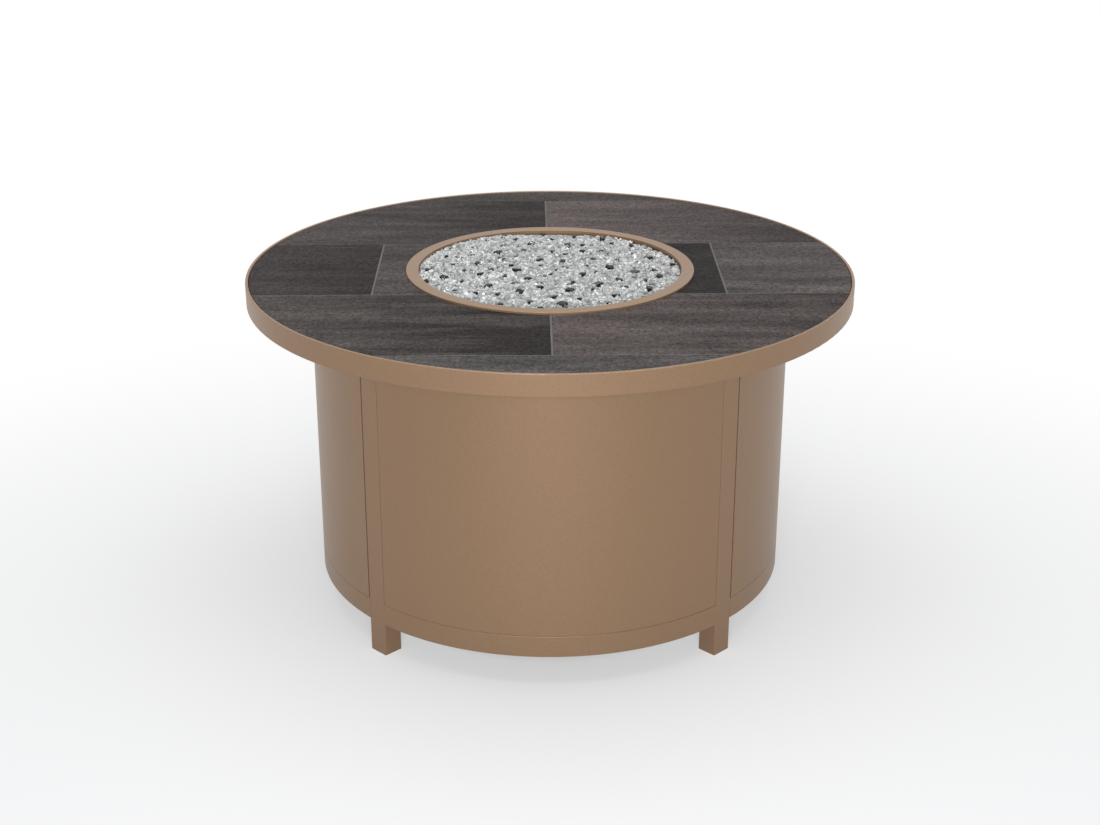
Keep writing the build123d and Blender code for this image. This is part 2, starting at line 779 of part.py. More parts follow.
# Spark electrode: ceramic rod through the pan's wall, its wire just short of the ring
spark_reach = sqrt((burner_radius + burner_tube_radius + spark_gap) ** 2 - igniter_across**2)
ceramic_start = spark_reach + electrode_wire_length
electrode_end = sqrt(pan_radius**2 - igniter_across**2) + electrode_stand_out
with BuildPart() as electrode:
    with BuildSketch(electrode_plane.offset(spark_reach)):
        Circle(electrode_wire_radius)
    extrude(amount=electrode_wire_length)
    with BuildSketch(electrode_plane.offset(ceramic_start)):
        Circle(electrode_radius)
    extrude(amount=electrode_end - ceramic_start)
electrode.part.label = "spark_electrode"
export_step(electrode.part, "parts/spark_electrode.step")

# Control bracket: an angle hung from the mounting ring behind the door
bracket_plane = facing_plane(control_angle, bracket_radius, control_height)
bracket_flange_depth = bracket_edge_radius - bracket_radius + bracket_sheet
with BuildPart() as bracket:
    with BuildSketch(bracket_plane):
        with Locations((0, (control_drop - bracket_tail) / 2)):
            RectangleRounded(bracket_width, control_drop + bracket_tail, bracket_corner_radius)
        with Locations((valve_across, 0)):
            Circle(valve_neck_radius + valve_neck_gap, mode=Mode.SUBTRACT)
        with Locations((igniter_across, 0)):
            Circle(igniter_neck_radius + valve_neck_gap, mode=Mode.SUBTRACT)
    extrude(amount=-bracket_sheet)
    with BuildSketch(level_plane(control_angle, post_height)):
        with Locations((bracket_edge_radius - bracket_flange_depth / 2, 0)):
            Rectangle(bracket_flange_depth, bracket_flange_width)
        with Locations(*bracket_screw_points):
            Circle(screw_hole_radius, mode=Mode.SUBTRACT)
    extrude(amount=-bracket_sheet)
bracket.part.label = "control_bracket"
export_step(bracket.part, "parts/control_bracket.step")

# Bracket screws: up through the bracket's flange into the mounting ring
with BuildPart() as bracket_screws:
    with BuildSketch(level_plane(control_angle, post_height - bracket_sheet)):
        with Locations(*bracket_screw_points):
            Circle(screw_head_radius)
    extrude(amount=-screw_head_height)
    with BuildSketch(level_plane(control_angle, post_height - bracket_sheet)):
        with Locations(*bracket_screw_points):
            Circle(screw_radius)
    extrude(amount=bracket_sheet + mounting_ring_thickness)
bracket_screws.part.label = "bracket_screws"
export_step(bracket_screws.part, "parts/bracket_screws.step")

# Gas valve: brass block behind the bracket, inlet at its side and outlet below
valve_plane = facing_plane(control_angle, bracket_radius, control_height, valve_across)
valve_centre_radius = bracket_radius - bracket_sheet - valve_depth / 2
port_plane = level_plane(control_angle, control_height)
with BuildPart() as valve:
    with BuildSketch(valve_plane.offset(-bracket_sheet)):
        Rectangle(valve_size, valve_size)
    extrude(amount=-valve_depth)
    fillet(valve.edges(), valve_edge_radius)
    with BuildSketch(valve_plane):
        Circle(valve_neck_radius)
    extrude(amount=-bracket_sheet - valve_edge_radius)
    with BuildSketch(port_plane):
        with Locations((valve_centre_radius, valve_across)):
            Circle(valve_port_radius)
    extrude(amount=-valve_size / 2 - valve_outlet_length)
    inlet_plane = Plane(
        port_plane.from_local_coords((valve_centre_radius, valve_across, 0)),
        x_dir=(0, 0, 1),
        z_dir=port_plane.y_dir,
    )
    with BuildSketch(inlet_plane):
        Circle(valve_port_radius)
    extrude(amount=valve_size / 2 + valve_inlet_length)
    with BuildSketch(valve_plane):
        Circle(stem_radius + stem_running_gap)
    extrude(amount=-stem_depth - stem_running_gap, mode=Mode.SUBTRACT)
valve.part.label = "gas_valve"
export_step(valve.part, "parts/gas_valve.step")

# Valve stem: turns in the valve with the knob
knob_plane = valve_plane.offset(knob_gap)
with BuildPart() as stem:
    with BuildSketch(valve_plane.offset(-stem_depth)):
        Circle(stem_radius)
    extrude(amount=stem_depth + knob_gap + knob_skirt_height)
stem.part.label = "valve_stem"
export_step(stem.part, "parts/valve_stem.step")

# Control knob: round skirt with a raised grip bar
with BuildPart() as knob:
    with BuildSketch():
        Circle(knob_radius)
    extrude(amount=knob_skirt_height)
    with BuildSketch(Plane.XY.offset(knob_skirt_height)):
        Circle(knob_radius - knob_edge_radius)
        Rectangle(knob_grip_width, 2 * knob_radius, mode=Mode.INTERSECT)
    extrude(amount=knob_grip_height)
    fillet(knob.faces().sort_by(Axis.Z)[-1].edges(), knob_edge_radius)
    with BuildSketch():
        Circle(stem_radius)
    extrude(amount=knob_skirt_height, mode=Mode.SUBTRACT)
knob_part = knob_plane.location * knob.part
knob_part.label = "control_knob"
export_step(knob_part, "parts/control_knob.step")

# Igniter: push-button spark unit held in the bracket by a ring nut
igniter_plane = facing_plane(control_angle, bracket_radius, control_height, igniter_across)
bore_depth = button_length - button_reach - igniter_neck_reach + button_travel + button_edge_radius
with BuildPart() as igniter:
    with BuildSketch(igniter_plane.offset(-bracket_sheet)):
        Circle(igniter_radius)
    extrude(amount=-igniter_length)
    with BuildSketch(igniter_plane.offset(-bracket_sheet)):
        Circle(igniter_neck_radius)
    extrude(amount=bracket_sheet + igniter_neck_reach)
    with BuildSketch(igniter_plane.offset(igniter_neck_reach)):
        Circle(button_radius + button_running_gap)
    extrude(amount=-igniter_neck_reach - bore_depth, mode=Mode.SUBTRACT)
igniter.part.label = "igniter_body"
export_step(igniter.part, "parts/igniter_body.step")

with BuildPart() as igniter_nut:
    with BuildSketch(igniter_plane):
        RegularPolygon(igniter_radius, 6)
        Circle(igniter_neck_radius, mode=Mode.SUBTRACT)
    extrude(amount=igniter_nut_height)
igniter_nut.part.label = "igniter_nut"
export_step(igniter_nut.part, "parts/igniter_nut.step")

button_plane = igniter_plane.offset(igniter_neck_reach + button_reach)
with BuildPart() as button:
    with BuildSketch():
        Circle(button_radius)
    extrude(amount=-button_length)
    fillet(button.faces().sort_by(Axis.Z)[-1].edges(), button_edge_radius)
button_part = button_plane.location * button.part
button_part.label = "igniter_button"
export_step(button_part, "parts/igniter_button.step")

# Igniter lead: from the igniter's back up and in to the electrode
igniter_back = bracket_radius - bracket_sheet - igniter_length
lead_plane = Plane(
    facing_plane(control_angle, 0, 0, igniter_across).origin,
    x_dir=facing_plane(control_angle, 0, 0).z_dir,
    z_dir=-facing_plane(control_angle, 0, 0).x_dir,
)
with BuildPart() as lead:
    with BuildLine(lead_plane) as lead_route:
        FilletPolyline(
            (igniter_back, control_height),
            (igniter_back - lead_end_length, control_height),
            (electrode_end + lead_end_length, burner_height),
            (electrode_end, burner_height),
            radius=lead_bend_radius,
        )
    with BuildSketch(Plane(lead_route.line @ 0, z_dir=lead_route.line % 0)):
        Circle(lead_radius)
    sweep()
lead.part.label = "igniter_lead"
export_step(lead.part, "parts/igniter_lead.step")

# Gas tube: bent line from the valve's outlet round the tank to the mixer
outlet_end = control_height - valve_size / 2 - valve_outlet_length
outlet_point = port_plane.from_local_coords((valve_centre_radius, valve_across, 0))
tube_run_height = min(mixer_bottom, outlet_end) - gas_tube_drop
with BuildPart() as gas_tube:
    with BuildLine() as tube_route:
        FilletPolyline(
            (0, 0, mixer_bottom),
            (0, 0, tube_run_height),
            (outlet_point.X, 0, tube_run_height),
            (outlet_point.X, outlet_point.Y, tube_run_height),
            (outlet_point.X, outlet_point.Y, outlet_end),
            radius=gas_tube_bend_radius,
        )
    with BuildSketch(Plane(tube_route.line @ 0, z_dir=tube_route.line % 0)):
        Circle(gas_tube_radius)
    sweep()
gas_tube.part.label = "gas_tube"
export_step(gas_tube.part, "parts/gas_tube.step")

# Flare nuts: one at each end of the gas tube
with BuildPart() as flare_nuts:
    for end in (Vector(0, 0, mixer_bottom), Vector(outlet_point.X, outlet_point.Y, outlet_end)):
        with BuildSketch(Plane(end)):
            RegularPolygon(flare_nut_radius, 6)
            Circle(gas_tube_radius, mode=Mode.SUBTRACT)
        extrude(amount=-flare_nut_height)
flare_nuts.part.label = "flare_nuts"
export_step(flare_nuts.part, "parts/flare_nuts.step")

# Tank tray: shallow round pan for the foot ring of a gas bottle, on two flat bars
tray_bottom = rail_bottom + tray_bar_thickness
with BuildPart() as tray:
    with BuildSketch(Plane.XY.offset(tray_bottom)):
        with Locations((0, tray_offset)):
            Circle(tray_radius)
    extrude(amount=tray_height)
    with BuildSketch(Plane.XY.offset(tray_bottom + tray_sheet)):
        with Locations((0, tray_offset)):
            Circle(tray_radius - tray_sheet)
    extrude(amount=tray_height, mode=Mode.SUBTRACT)
tray.part.label = "tank_tray"
export_step(tray.part, "parts/tank_tray.step")

with BuildPart() as tray_bars:
    with BuildSketch(Plane.XY.offset(rail_bottom)):
        with GridLocations(0, tray_bar_spacing, 1, 2):
            with Locations((0, tray_offset)):
                Rectangle(2 * base_radius, tray_bar_width)
        Circle(rail_inner_radius - weld_gap, mode=Mode.INTERSECT)
        with PolarLocations(post_centre_radius, len(post_angles), start_angle=corner_angle):
            Rectangle(post_depth + 2 * weld_gap, post_width + 2 * weld_gap, mode=Mode.SUBTRACT)
    extrude(amount=tray_bar_thickness)
tray_bars.part.label = "tray_bars"
export_step(tray_bars.part, "parts/tray_bars.step")
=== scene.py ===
"""Dresses a round gas fire pit table: bronze coat, porcelain tiles, fire glass and gas fittings."""

import json
import math
import random

import bmesh
import bpy
from mathutils import Euler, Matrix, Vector

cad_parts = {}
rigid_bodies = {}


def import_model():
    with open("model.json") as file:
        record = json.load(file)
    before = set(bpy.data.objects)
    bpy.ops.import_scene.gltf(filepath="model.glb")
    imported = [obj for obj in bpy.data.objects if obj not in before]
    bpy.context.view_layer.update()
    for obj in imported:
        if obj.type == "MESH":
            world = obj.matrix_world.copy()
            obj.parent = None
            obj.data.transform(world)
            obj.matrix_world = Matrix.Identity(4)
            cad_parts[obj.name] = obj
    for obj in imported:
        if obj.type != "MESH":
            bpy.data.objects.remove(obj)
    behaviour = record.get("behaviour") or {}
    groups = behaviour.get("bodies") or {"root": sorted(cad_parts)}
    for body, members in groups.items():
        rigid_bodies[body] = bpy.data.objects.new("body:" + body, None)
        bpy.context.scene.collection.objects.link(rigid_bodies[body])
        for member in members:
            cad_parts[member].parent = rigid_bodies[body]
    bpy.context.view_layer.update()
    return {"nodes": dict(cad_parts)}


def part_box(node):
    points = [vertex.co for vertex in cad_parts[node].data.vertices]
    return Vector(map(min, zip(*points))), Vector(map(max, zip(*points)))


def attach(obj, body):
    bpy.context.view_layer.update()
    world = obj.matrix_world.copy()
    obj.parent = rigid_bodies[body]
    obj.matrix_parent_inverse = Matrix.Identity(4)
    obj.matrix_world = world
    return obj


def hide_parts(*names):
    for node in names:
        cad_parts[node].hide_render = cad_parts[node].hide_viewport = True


bl_info = {
    "name": "Fire pit table",
    "version": (1, 0, 0),
    "blender": (4, 5, 0),
    "location": "View3D > Sidebar > Fire pit",
    "description": "Finishes a tiled gas fire pit table and sets it on a pale studio floor",
    "category": "Object",
}

# The objects of the start-up scene make room for the frame.
for stray in list(bpy.data.objects):
    bpy.data.objects.remove(stray)
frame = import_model()

COATED = (
    "access_door", "bottom_rail_back", "bottom_rail_front", "bottom_rail_left", "bottom_rail_right",
    "burner_pan", "door_pull", "panel_front", "panel_left", "panel_right", "post_back_left",
    "post_back_right", "post_front_left", "post_front_right", "rim_band", "tank_tray", "top_cross_bars",
    "top_long_bars", "top_mounting_ring", "tray_bars", "trim_ring",
)
ZINC_PLATED = (
    "bracket_screws", "burner_lock_nut", "burner_nipple", "catch_strike_plate", "door_pull_screw",
    "igniter_nut", "panel_screws", "top_screws", "valve_stem",
)
# Each tile was cut from another place of the printed design, so each has its own two tones,
# its own place in the pattern and an end that is darker (-1 left, 1 right, 0 neither).
# Both tones also carry an even painted sheen, in place of the reflection of the glaze.
TILES = {
    "tile_back": ("#544E4C", "#383635", 3.1, 0.0),
    "tile_back_left": ("#514C4B", "#312E2D", 7.4, 0.6),
    "tile_back_right": ("#605857", "#3C3737", 12.9, 0.7),
    "tile_left": ("#453F3F", "#2B2828", 18.3, 0.3),
    "tile_burner_left": ("#595352", "#383535", 24.7, 0.0),
    "tile_burner_right": ("#373333", "#252323", 31.2, 0.0),
    "tile_right": ("#615B59", "#3E3B3A", 38.8, 0.0),
    "tile_front_left": ("#55504E", "#2C2928", 45.5, 0.7),
    "tile_front_right": ("#5E5655", "#363231", 52.6, 0.2),
    "tile_front": ("#5E5B5A", "#3F3C3C", 59.1, 0.0),
}
# Each kind of chip: how clear, how rough and how shiny its glass is, how far the chip tilts and how
# ragged it breaks. Clear and smoked chips lie any way up, and the black ones are slabs that lie flat.
CHIPS = {
    "clear": (0.25, 0.06, 0.5, math.pi, 0.34),
    "smoked": (0.3, 0.06, 0.5, math.pi, 0.34),
    "black": (0.0, 0.2, 0.15, 0.25, 0.16),
}
# Each soft lamp: its width and height, its place, and the height on the table's axis that it faces.
SOFTBOXES = {
    "front_softbox": (1.6, 1.2, (0.0, -4.4, 1.7), 0.35),
    "overhead_softbox": (3.0, 3.0, (0.0, -0.2, 3.2), 0.0),
}


def linear(code):
    """An sRGB hex value as linear red, green and blue."""
    parts = (int(code[place:place + 2], 16) / 255 for place in (1, 3, 5))
    return tuple(p / 12.92 if p <= 0.04045 else ((p + 0.055) / 1.055) ** 2.4 for p in parts)


def per_metre(millimetres):
    """The scale at which a pattern repeats once in a real size."""
    return 1000 / millimetres


def add(tree, kind, inputs=None, **settings):
    """Adds one shader node with its settings, and fills or links its inputs."""
    made = tree.nodes.new("ShaderNode" + kind)
    for name, value in settings.items():
        setattr(made, name, value)
    for key, value in (inputs or {}).items():
        if isinstance(value, bpy.types.NodeSocket):
            tree.links.new(value, made.inputs[key])
        elif isinstance(value, str):
            made.inputs[key].default_value = (*linear(value), 1.0)
        else:
            made.inputs[key].default_value = value
    return made


def new_material(name):
    """A material with an empty node tree, and the place in it that patterns start from."""
    made = bpy.data.materials.new(name)
    made.use_nodes = True
    made.node_tree.nodes.clear()
    return made, made.node_tree, add(made.node_tree, "TexCoord").outputs["Object"]


def dress(nodes, material):
    """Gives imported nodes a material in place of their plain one."""
    for name in nodes:
        materials = frame["nodes"][name].data.materials
        materials.clear()
        materials.append(material)


def new_object(name, bm, material):
    """Makes an object of a finished bmesh and puts it in the scene."""
    mesh = bpy.data.meshes.new(name)
    bm.to_mesh(mesh)
    bm.free()
    mesh.materials.append(material)
    made = bpy.data.objects.new(name, mesh)
    bpy.context.scene.collection.objects.link(made)
    return made


def new_piece(name, bm, material, body):
    """Makes a piece of the table that rides on a body."""
    piece = new_object(name, bm, material)
    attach(piece, body)
    return piece


def bronze_powder_coat(settings):
    """Polyester powder coat with bronze flake, sprayed and baked: satin, with a fine peel and a sparkle."""
    material, tree, place = new_material("bronze_powder_coat")
    # The flakes are finer than a pixel, so they are drawn as coarse as they need to be to show.
    flake = add(tree, "TexNoise", {"Vector": place, "Scale": per_metre(settings.flake_mm), "Detail": 2.0})
    cloud = add(tree, "TexNoise", {"Vector": place, "Scale": per_metre(120), "Detail": 3.0})
    flaked = add(tree, "MapRange", {"Value": flake.outputs["Fac"], "From Min": 0.3, "From Max": 0.7})
    light, dark = (*settings.flake_colour, 1.0), (*settings.ground_colour, 1.0)
    colour = add(tree, "Mix", {0: flaked.outputs[0], 6: dark, 7: light}, data_type="RGBA")
    uneven = 0.04
    rough = add(
        tree, "MapRange",
        {
            "Value": cloud.outputs["Fac"],
            "To Min": settings.roughness - uneven,
            "To Max": settings.roughness + uneven,
        },
    )
    peel = add(tree, "Bump", {"Height": flake.outputs["Fac"], "Strength": 0.06, "Distance": 0.0003})
    shader = add(
        tree, "BsdfPrincipled",
        {
            "Base Color": colour.outputs[2],
            "Metallic": 0.5,
            "Roughness": rough.outputs[0],
            "Normal": peel.outputs[0],
            "Coat Weight": 0.2,
            "Coat Roughness": 0.36,
        },
    )
    add(tree, "OutputMaterial", {"Surface": shader.outputs[0]})
    return material


def wood_look_porcelain(name, settings):
    """Pressed porcelain with a printed, satin wood-and-slate face: long streaks, clouds and fine grain."""
    light, dark, shift, dark_end = TILES[name]
    lowest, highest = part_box(name)
    material, tree, place = new_material("wood_look_porcelain_" + name.removeprefix("tile_"))
    turned = add(
        tree, "Mapping",
        {"Vector": place, "Location": (shift, shift, 0.0), "Rotation": (0.0, 0.0, -settings.bond_turn)},
    )
    prints = []
    for length, width in (
        (settings.cloud_length, settings.cloud_width),
        (settings.streak_length, settings.streak_width),
        (settings.grain_length, settings.grain_width),
    ):
        scale = (1 / length, 1 / width, 1 / width)
        drawn = add(tree, "Mapping", {"Vector": turned.outputs[0], "Scale": scale})
        noise = add(
            tree, "TexNoise",
            {
                "Vector": drawn.outputs[0], "Scale": 1.0, "Detail": 3.0,
                "Roughness": 0.55, "Distortion": 0.5,
            },
        )
        prints.append(noise.outputs["Fac"])
    clouds, streaks, grains = prints
    along = add(tree, "SeparateXYZ", {"Vector": place}).outputs["X"]
    end_shade = settings.end_shade * dark_end
    shade = add(
        tree, "MapRange",
        {
            "Value": along, "From Min": lowest.x, "From Max": highest.x,
            "To Min": end_shade, "To Max": -end_shade,
        },
    ).outputs[0]
    for value, share in ((clouds, settings.cloud_share), (streaks, 1 - settings.cloud_share)):
        shade = add(tree, "Math", {0: value, 1: share, 2: shade}, operation="MULTIPLY_ADD").outputs[0]
    toned = add(tree, "MapRange", {"Value": shade, "From Min": 0.33, "From Max": 0.67})
    printed = add(tree, "Mix", {0: toned.outputs[0], 6: dark, 7: light}, data_type="RGBA")
    speck = add(
        tree, "MapRange", {"Value": grains, "From Min": 0.3, "From Max": 0.7, "To Min": 0.5, "To Max": 1.5}
    )
    colour = add(tree, "HueSaturation", {"Color": printed.outputs[2], "Value": speck.outputs[0]})
    rough = add(tree, "MapRange", {"Value": streaks, "To Min": 0.5, "To Max": 0.66})
    relief = add(tree, "Bump", {"Height": grains, "Strength": 0.2, "Distance": 0.0003})
    shader = add(
        tree, "BsdfPrincipled",
        {
            "Base Color": colour.outputs[0],
            "Roughness": rough.outputs[0],
            # The glaze reflects little here: its sheen is painted into the tones of TILES instead.
            "Specular IOR Level": 0.02,
            "Normal": relief.outputs[0],
        },
    )
    add(tree, "OutputMaterial", {"Surface": shader.outputs[0]})
    return material


def sanded_grout(settings):
    """Sanded cement grout, struck flush and washed: matte grey with grains of sand."""
    material, tree, place = new_material("sanded_grout")
    sand = add(tree, "TexNoise", {"Vector": place, "Scale": per_metre(1.5), "Detail": 2.0})
    stain = add(tree, "TexNoise", {"Vector": place, "Scale": per_metre(70), "Detail": 2.0})
    mixed = add(tree, "Math", {0: sand.outputs["Fac"], 1: stain.outputs["Fac"]}, operation="MULTIPLY")
    toned = add(tree, "MapRange", {"Value": mixed.outputs[0], "From Min": 0.1, "From Max": 0.4})
    worn, clean = tuple(0.75 * c for c in settings.grout_colour), settings.grout_colour
    colour = add(tree, "Mix", {0: toned.outputs[0], 6: (*worn, 1.0), 7: (*clean, 1.0)}, data_type="RGBA")
    relief = add(tree, "Bump", {"Height": sand.outputs["Fac"], "Strength": 0.3, "Distance": 0.0004})
    shader = add(
        tree, "BsdfPrincipled",
        {
            "Base Color": colour.outputs[2], "Roughness": 0.9, "Specular IOR Level": 0.2,
            "Normal": relief.outputs[0],
        },
    )
    add(tree, "OutputMaterial", {"Surface": shader.outputs[0]})
    return material


def cement_board():
    """Fibre cement board, pressed and sawn: pale grey and chalky, with short fibres."""
    material, tree, place = new_material("cement_board")
    fibre = add(tree, "Mapping", {"Vector": place, "Scale": (per_metre(9), per_metre(2), per_metre(2))})
    fibres = add(tree, "TexNoise", {"Vector": fibre.outputs[0], "Scale": 1.0, "Detail": 3.0})
    colour = add(tree, "Mix", {0: fibres.outputs["Fac"], 6: "#8F8C86", 7: "#C2BEB6"}, data_type="RGBA")
    relief = add(tree, "Bump", {"Height": fibres.outputs["Fac"], "Strength": 0.3, "Distance": 0.0005})
    shader = add(
        tree, "BsdfPrincipled",
        {
            "Base Color": colour.outputs[2], "Roughness": 0.92, "Specular IOR Level": 0.2,
            "Normal": relief.outputs[0],
        },
    )
    add(tree, "OutputMaterial", {"Surface": shader.outputs[0]})
    return material


def crushed_glass(name, clearness, roughness, shine):
    """Crushed tempered glass, tumbled: a tone that changes from chip to chip, with painted light and shade on
    each facet.
    """
    material, tree, place = new_material(name)
    # The tone layer holds each chip's tone times the painted light and shade of each facet.
    tone = add(tree, "VertexColor", layer_name="tone")
    flaw = add(tree, "TexNoise", {"Vector": place, "Scale": per_metre(4), "Detail": 2.0})
    rough = add(
        tree, "MapRange", {"Value": flaw.outputs["Fac"], "To Min": roughness, "To Max": roughness + 0.12}
    )
    shader = add(
        tree, "BsdfPrincipled",
        {
            "Base Color": tone.outputs["Color"],
            "Roughness": rough.outputs[0],
            "IOR": 1.52,
            "Specular IOR Level": shine,
            "Transmission Weight": clearness,
        },
    )
    add(tree, "OutputMaterial", {"Surface": shader.outputs[0]})
    return material


def glass_grit():
    """The fine glass between the chips: pale grey grit in sharp cells, with painted shade where the cells
    meet.
    """
    material, tree, place = new_material("glass_grit")
    cells = add(tree, "TexVoronoi", {"Vector": place, "Scale": per_metre(5)})
    # Painted shade: the grit turns from pale to dark towards the edge of each cell, where the grains meet.
    painted_gap_shade = add(
        tree, "MapRange",
        {"Value": cells.outputs["Distance"], "From Max": 0.8, "To Min": 0.9, "To Max": 0.25},
    )
    colour = add(tree, "Mix", {0: painted_gap_shade.outputs[0], 6: "#6A6E6E", 7: "#DADDDC"}, data_type="RGBA")
    relief = add(tree, "Bump", {"Height": cells.outputs["Distance"], "Strength": 0.6, "Distance": 0.002})
    shader = add(
        tree, "BsdfPrincipled",
        {"Base Color": colour.outputs[2], "Roughness": 0.3, "IOR": 1.52, "Normal": relief.outputs[0]},
    )
    add(tree, "OutputMaterial", {"Surface": shader.outputs[0]})
    return material


def worked_metal(name, bright, dull, roughness, grain_mm, stretch):
    """A bare metal with the lines or clouds that its making leaves, from a bright to a dull tone."""
    material, tree, place = new_material(name)
    lines = add(
        tree, "Mapping",
        {"Vector": place, "Scale": (per_metre(grain_mm), per_metre(grain_mm), per_metre(grain_mm * stretch))},
    )
    grain = add(tree, "TexNoise", {"Vector": lines.outputs[0], "Scale": 1.0, "Detail": 4.0})
    bloom = add(tree, "TexNoise", {"Vector": place, "Scale": per_metre(25), "Detail": 2.0})
    mixed = add(tree, "Math", {0: grain.outputs["Fac"], 1: bloom.outputs["Fac"]}, operation="MULTIPLY")
    toned = add(tree, "MapRange", {"Value": mixed.outputs[0], "From Min": 0.1, "From Max": 0.4})
    colour = add(tree, "Mix", {0: toned.outputs[0], 6: dull, 7: bright}, data_type="RGBA")
    rough = add(
        tree, "MapRange",
        {"Value": grain.outputs["Fac"], "To Min": roughness + 0.1, "To Max": roughness - 0.05},
    )
    relief = add(tree, "Bump", {"Height": grain.outputs["Fac"], "Strength": 0.05, "Distance": 0.0002})
    shader = add(
        tree, "BsdfPrincipled",
        {
            "Base Color": colour.outputs[2], "Metallic": 1.0, "Roughness": rough.outputs[0],
            "Normal": relief.outputs[0],
        },
    )
    add(tree, "OutputMaterial", {"Surface": shader.outputs[0]})
    return material


def moulded(name, light, dark, roughness, grain_mm):
    """A moulded or fired part: one colour with the faint grain of its mould or glaze."""
    material, tree, place = new_material(name)
    grain = add(tree, "TexNoise", {"Vector": place, "Scale": per_metre(grain_mm), "Detail": 3.0})
    colour = add(tree, "Mix", {0: grain.outputs["Fac"], 6: dark, 7: light}, data_type="RGBA")
    rough = add(
        tree, "MapRange",
        {"Value": grain.outputs["Fac"], "To Min": roughness - 0.08, "To Max": roughness + 0.08},
    )
    relief = add(tree, "Bump", {"Height": grain.outputs["Fac"], "Strength": 0.1, "Distance": 0.0002})
    shader = add(
        tree, "BsdfPrincipled",
        {"Base Color": colour.outputs[2], "Roughness": rough.outputs[0], "Normal": relief.outputs[0]},
    )
    add(tree, "OutputMaterial", {"Surface": shader.outputs[0]})
    return material


def seen_rays(tree):
    """Is 1 for what the camera sees, also in metal and through glass, and 0 for light that falls."""
    rays = add(tree, "LightPath")
    seen = rays.outputs["Is Camera Ray"]
    for other in ("Is Glossy Ray", "Is Transmission Ray"):
        seen = add(tree, "Math", {0: seen, 1: rays.outputs[other]}, operation="MAXIMUM").outputs[0]
    return seen


def studio_floor(settings):
    """Painted studio floor, rolled smooth: pale and dull, and fading to plain white away from the table."""
    material, tree, place = new_material("studio_floor")
    middle = add(tree, "Mapping", {"Vector": place, "Location": (0.0, settings.fade_forward, 0.0)})
    away = add(tree, "VectorMath", {0: middle.outputs[0]}, operation="LENGTH")
    fade = add(
        tree, "MapRange",
        {
            "Value": away.outputs["Value"],
            "From Min": settings.near_white,
            "From Max": settings.far_white,
            "To Min": settings.least_white,
        },
        interpolation_type="SMOOTHSTEP",
    )
    # Under the base the floor keeps its full shadow.
    reach = add(tree, "VectorMath", {0: place}, operation="LENGTH")
    unshaded = add(
        tree, "MapRange",
        {
            "Value": reach.outputs["Value"],
            "From Min": settings.shade_core,
            "From Max": settings.shade_edge,
        },
    )
    share = seen_rays(tree)
    for factor in (fade, unshaded):
        share = add(tree, "Math", {0: share, 1: factor.outputs[0]}, operation="MULTIPLY").outputs[0]
    dull = add(tree, "BsdfDiffuse", {"Color": (*settings.floor_colour, 1.0)})
    white = add(tree, "Emission", {"Strength": 1.0})
    shader = add(tree, "MixShader", {0: share, 1: dull.outputs[0], 2: white.outputs[0]})
    add(tree, "OutputMaterial", {"Surface": shader.outputs[0]})
    return material


class FirePitCoat(bpy.types.PropertyGroup):
    """Bronze powder coat of the metalwork"""

    flake_colour: bpy.props.FloatVectorProperty(
        name="Flake", description="Colour of the bright flakes",
        subtype="COLOR", default=linear("#8C7056"),
    )
    ground_colour: bpy.props.FloatVectorProperty(
        name="Ground", description="Colour of the coat between the flakes",
        subtype="COLOR", default=linear("#84684E"),
    )
    roughness: bpy.props.FloatProperty(
        name="Roughness", description="Roughness of the satin surface",
        subtype="FACTOR", min=0.1, max=1, default=0.45,
    )
    flake_mm: bpy.props.FloatProperty(
        name="Flake size", description="Size of a fleck in millimetres, as coarse as it has to be to show",
        min=0.1, default=2.2,
    )


class FirePitTiles(bpy.types.PropertyGroup):
    """Printed porcelain tiles and their grout"""

    bond_turn: bpy.props.FloatProperty(
        name="Bond turn", description="Turn of the rows of tiles",
        subtype="ANGLE", default=math.radians(0.83),
    )
    streak_length: bpy.props.FloatProperty(
        name="Streak length", description="Length of a printed streak",
        subtype="DISTANCE", default=0.15,
    )
    streak_width: bpy.props.FloatProperty(
        name="Streak width", description="Width of a printed streak",
        subtype="DISTANCE", default=0.01,
    )
    cloud_length: bpy.props.FloatProperty(
        name="Cloud length", description="Length of a dark cloud in the print",
        subtype="DISTANCE", default=0.3,
    )
    cloud_width: bpy.props.FloatProperty(
        name="Cloud width", description="Width of a dark cloud in the print",
        subtype="DISTANCE", default=0.05,
    )
    cloud_share: bpy.props.FloatProperty(
        name="Clouds", description="Share of the clouds in the print, of which the streaks have the rest",
        subtype="FACTOR", min=0, max=1, default=0.72,
    )
    grain_length: bpy.props.FloatProperty(
        name="Grain length", description="Length of a grain of the print",
        subtype="DISTANCE", default=0.005,
    )
    grain_width: bpy.props.FloatProperty(
        name="Grain width", description="Width of a grain of the print",
        subtype="DISTANCE", default=0.006,
    )
    end_shade: bpy.props.FloatProperty(
        name="End shade", description="How much darker the dark end of a tile is",
        subtype="FACTOR", min=0, max=1, default=0.22,
    )
    grout_colour: bpy.props.FloatVectorProperty(
        name="Grout", description="Colour of the grout",
        subtype="COLOR", default=linear("#6F6C69"),
    )


